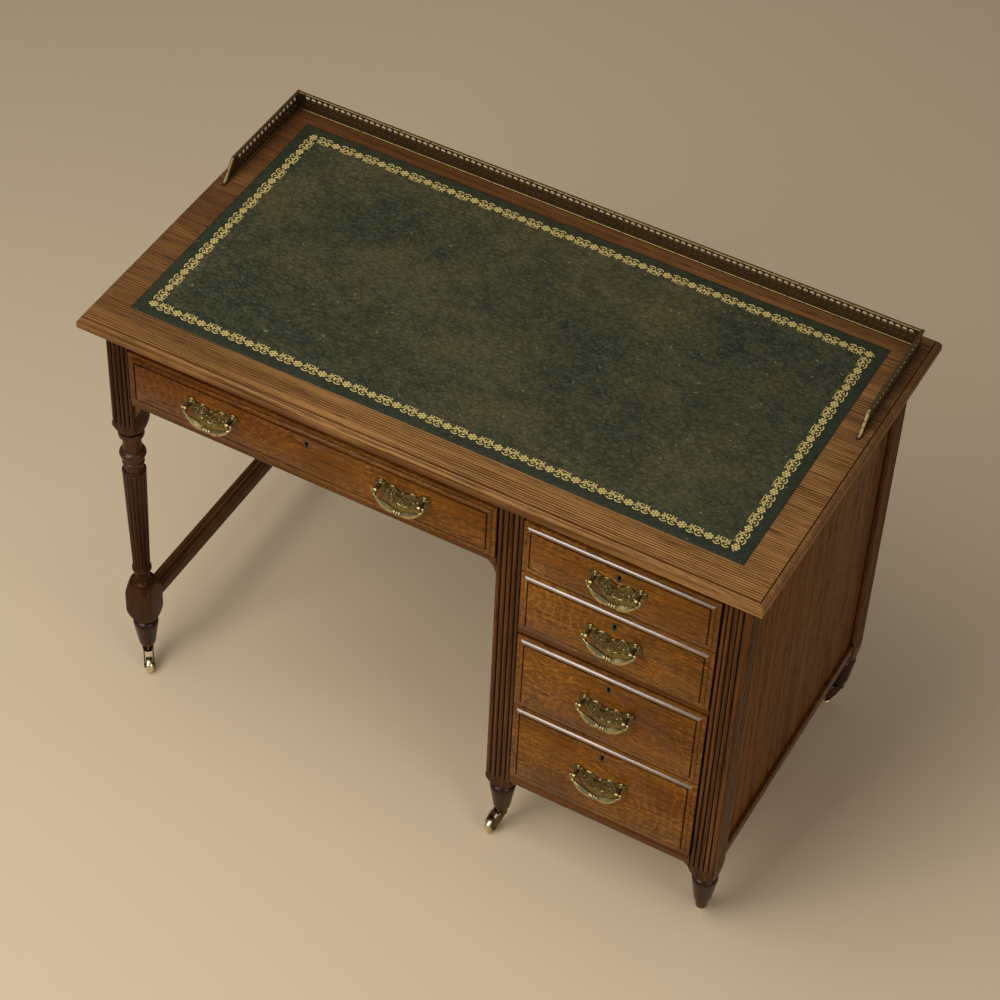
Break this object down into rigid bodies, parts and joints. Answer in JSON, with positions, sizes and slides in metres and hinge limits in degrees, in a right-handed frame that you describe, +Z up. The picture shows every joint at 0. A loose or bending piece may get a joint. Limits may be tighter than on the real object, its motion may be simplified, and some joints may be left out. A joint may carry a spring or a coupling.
{
  "type": "writing desk",
  "caption": "Oak writing desk with one drawer pedestal, a frieze drawer over the kneehole, inset leather top, pierced brass gallery, drop handles and swivel castors.",
  "frame": {"origin": "on the floor under the middle of the top", "axes": "+X along the desk towards the pedestal, +Y from front to back, +Z up"},
  "size_m": [1.067, 0.59, 0.7905],
  "materials": {
    "oak_top": "waxed, open grain",
    "leather": "worn and mottled, gold tooled",
    "gallery_brass": "aged",
    "oak_frame": "dark polish",
    "oak_panel": "polished",
    "drawer_wood": "bare",
    "oak_front": "polished, figured",
    "handle_brass": "aged, bright on the high spots",
    "lock_steel": "plain",
    "castor_brass": "antique",
    "wheel_brass": "worn bright"
  },
  "bodies": {
    "desk": {"top_board": "oak_top", "leather_panel": "leather", "gallery": "gallery_brass", "left_front_leg": "oak_frame", "left_back_leg": "oak_frame", "inner_front_post": "oak_frame", "outer_front_post": "oak_frame", "inner_back_post": "oak_frame", "outer_back_post": "oak_frame", "leg_stretcher": "oak_frame", "kneehole_rail": "oak_frame", "corner_brackets": "oak_frame", "top_front_rails": "oak_frame", "pedestal_bottom_rails": "oak_frame", "left_end_panel": "oak_frame", "frieze_back_panel": "oak_frame", "outer_side_panel": "oak_panel", "inner_side_panel": "oak_panel", "pedestal_back_panel": "oak_panel", "pedestal_bottom_board": "drawer_wood", "runner_frames": "drawer_wood", "castor_sockets": "castor_brass"},
    "frieze_drawer": {"frieze_drawer_front": "oak_front", "frieze_drawer_box": "drawer_wood", "frieze_drawer_fittings": "handle_brass"},
    "frieze_drawer_lock_bolt": {"frieze_drawer_bolt": "lock_steel"},
    "frieze_left_handle": {"frieze_left_bail": "handle_brass"},
    "frieze_right_handle": {"frieze_right_bail": "handle_brass"},
    "drawer_1": {"drawer_1_front": "oak_front", "drawer_1_box": "drawer_wood", "drawer_1_fittings": "handle_brass"},
    "drawer_1_lock_bolt": {"drawer_1_bolt": "lock_steel"},
    "drawer_1_handle": {"drawer_1_bail": "handle_brass"},
    "drawer_2": {"drawer_2_front": "oak_front", "drawer_2_box": "drawer_wood", "drawer_2_fittings": "handle_brass"},
    "drawer_2_lock_bolt": {"drawer_2_bolt": "lock_steel"},
    "drawer_2_handle": {"drawer_2_bail": "handle_brass"},
    "drawer_3": {"drawer_3_front": "oak_front", "drawer_3_box": "drawer_wood", "drawer_3_fittings": "handle_brass"},
    "drawer_3_lock_bolt": {"drawer_3_bolt": "lock_steel"},
    "drawer_3_handle": {"drawer_3_bail": "handle_brass"},
    "drawer_4": {"drawer_4_front": "oak_front", "drawer_4_box": "drawer_wood", "drawer_4_fittings": "handle_brass"},
    "drawer_4_lock_bolt": {"drawer_4_bolt": "lock_steel"},
    "drawer_4_handle": {"drawer_4_bail": "handle_brass"},
    "left_front_swivel": {"left_front_castor_horn": "castor_brass"},
    "left_front_roller": {"left_front_castor_wheel": "wheel_brass"},
    "left_back_swivel": {"left_back_castor_horn": "castor_brass"},
    "left_back_roller": {"left_back_castor_wheel": "wheel_brass"},
    "inner_front_swivel": {"inner_front_castor_horn": "castor_brass"},
    "inner_front_roller": {"inner_front_castor_wheel": "wheel_brass"},
    "inner_back_swivel": {"inner_back_castor_horn": "castor_brass"},
    "inner_back_roller": {"inner_back_castor_wheel": "wheel_brass"},
    "outer_front_swivel": {"outer_front_castor_horn": "castor_brass"},
    "outer_front_roller": {"outer_front_castor_wheel": "wheel_brass"},
    "outer_back_swivel": {"outer_back_castor_horn": "castor_brass"},
    "outer_back_roller": {"outer_back_castor_wheel": "wheel_brass"}
  },
  "joints": [
    {"name": "frieze_drawer_slide", "type": "slide", "parent": "desk", "child": "frieze_drawer", "axis": [0, -1, 0], "range_m": [0, 0.32]},
    {"name": "frieze_drawer_lock", "type": "slide", "parent": "frieze_drawer", "child": "frieze_drawer_lock_bolt", "axis": [0, 0, 1], "range_m": [0, 0.007]},
    {"name": "frieze_left_bail_swing", "type": "hinge", "parent": "frieze_drawer", "child": "frieze_left_handle", "pos_m": [-0.324, -0.2895, 0.663], "axis": [-1, 0, 0], "range_deg": [-12, 95]},
    {"name": "frieze_right_bail_swing", "type": "hinge", "parent": "frieze_drawer", "child": "frieze_right_handle", "pos_m": [-0.014, -0.2895, 0.663], "axis": [-1, 0, 0], "range_deg": [-12, 95]},
    {"name": "drawer_1_slide", "type": "slide", "parent": "desk", "child": "drawer_1", "axis": [0, -1, 0], "range_m": [0, 0.32]},
    {"name": "drawer_1_lock", "type": "slide", "parent": "drawer_1", "child": "drawer_1_lock_bolt", "axis": [0, 0, 1], "range_m": [0, 0.007]},
    {"name": "drawer_1_bail_swing", "type": "hinge", "parent": "drawer_1", "child": "drawer_1_handle", "pos_m": [0.3195, -0.2895, 0.663], "axis": [-1, 0, 0], "range_deg": [-12, 95]},
    {"name": "drawer_2_slide", "type": "slide", "parent": "desk", "child": "drawer_2", "axis": [0, -1, 0], "range_m": [0, 0.32]},
    {"name": "drawer_2_lock", "type": "slide", "parent": "drawer_2", "child": "drawer_2_lock_bolt", "axis": [0, 0, 1], "range_m": [0, 0.007]},
    {"name": "drawer_2_bail_swing", "type": "hinge", "parent": "drawer_2", "child": "drawer_2_handle", "pos_m": [0.3195, -0.2895, 0.55425], "axis": [-1, 0, 0], "range_deg": [-12, 95]},
    {"name": "drawer_3_slide", "type": "slide", "parent": "desk", "child": "drawer_3", "axis": [0, -1, 0], "range_m": [0, 0.32]},
    {"name": "drawer_3_lock", "type": "slide", "parent": "drawer_3", "child": "drawer_3_lock_bolt", "axis": [0, 0, 1], "range_m": [0, 0.007]},
    {"name": "drawer_3_bail_swing", "type": "hinge", "parent": "drawer_3", "child": "drawer_3_handle", "pos_m": [0.3195, -0.2895, 0.40625], "axis": [-1, 0, 0], "range_deg": [-12, 95]},
    {"name": "drawer_4_slide", "type": "slide", "parent": "desk", "child": "drawer_4", "axis": [0, -1, 0], "range_m": [0, 0.32]},
    {"name": "drawer_4_lock", "type": "slide", "parent": "drawer_4", "child": "drawer_4_lock_bolt", "axis": [0, 0, 1], "range_m": [0, 0.007]},
    {"name": "drawer_4_bail_swing", "type": "hinge", "parent": "drawer_4", "child": "drawer_4_handle", "pos_m": [0.3195, -0.2895, 0.24875], "axis": [-1, 0, 0], "range_deg": [-12, 95]},
    {"name": "left_front_castor_swivel", "type": "hinge", "parent": "desk", "child": "left_front_swivel", "pos_m": [-0.4885, -0.247, 0.034], "axis": [0, 0, 1], "continuous": true},
    {"name": "left_front_castor_roll", "type": "hinge", "parent": "left_front_swivel", "child": "left_front_roller", "pos_m": [-0.47619, -0.26276, 0.013], "axis": [0.788, 0.6157, 0], "continuous": true},
    {"name": "left_back_castor_swivel", "type": "hinge", "parent": "desk", "child": "left_back_swivel", "pos_m": [-0.4885, 0.243, 0.034], "axis": [0, 0, 1], "continuous": true},
    {"name": "left_back_castor_roll", "type": "hinge", "parent": "left_back_swivel", "child": "left_back_roller", "pos_m": [-0.47118, 0.253, 0.013], "axis": [-0.5, 0.866, 0], "continuous": true},
    {"name": "inner_front_castor_swivel", "type": "hinge", "parent": "desk", "child": "inner_front_swivel", "pos_m": [0.1505, -0.247, 0.034], "axis": [0, 0, 1], "continuous": true},
    {"name": "inner_front_castor_roll", "type": "hinge", "parent": "inner_front_swivel", "child": "inner_front_roller", "pos_m": [0.14399, -0.26591, 0.013], "axis": [0.9455, -0.3256, 0], "continuous": true},
    {"name": "inner_back_castor_swivel", "type": "hinge", "parent": "desk", "child": "inner_back_swivel", "pos_m": [0.1505, 0.243, 0.034], "axis": [0, 0, 1], "continuous": true},
    {"name": "inner_back_castor_roll", "type": "hinge", "parent": "inner_back_swivel", "child": "inner_back_roller", "pos_m": [0.14876, 0.22308, 0.013], "axis": [0.9962, -0.0872, 0], "continuous": true},
    {"name": "outer_front_castor_swivel", "type": "hinge", "parent": "desk", "child": "outer_front_swivel", "pos_m": [0.4885, -0.247, 0.034], "axis": [0, 0, 1], "continuous": true},
    {"name": "outer_front_castor_roll", "type": "hinge", "parent": "outer_front_swivel", "child": "outer_front_roller", "pos_m": [0.48068, -0.22859, 0.013], "axis": [-0.9205, -0.3907, 0], "continuous": true},
    {"name": "outer_back_castor_swivel", "type": "hinge", "parent": "desk", "child": "outer_back_swivel", "pos_m": [0.4885, 0.243, 0.034], "axis": [0, 0, 1], "continuous": true},
    {"name": "outer_back_castor_roll", "type": "hinge", "parent": "outer_back_swivel", "child": "outer_back_roller", "pos_m": [0.47564, 0.22768, 0.013], "axis": [0.766, -0.6428, 0], "continuous": true}
  ]
}
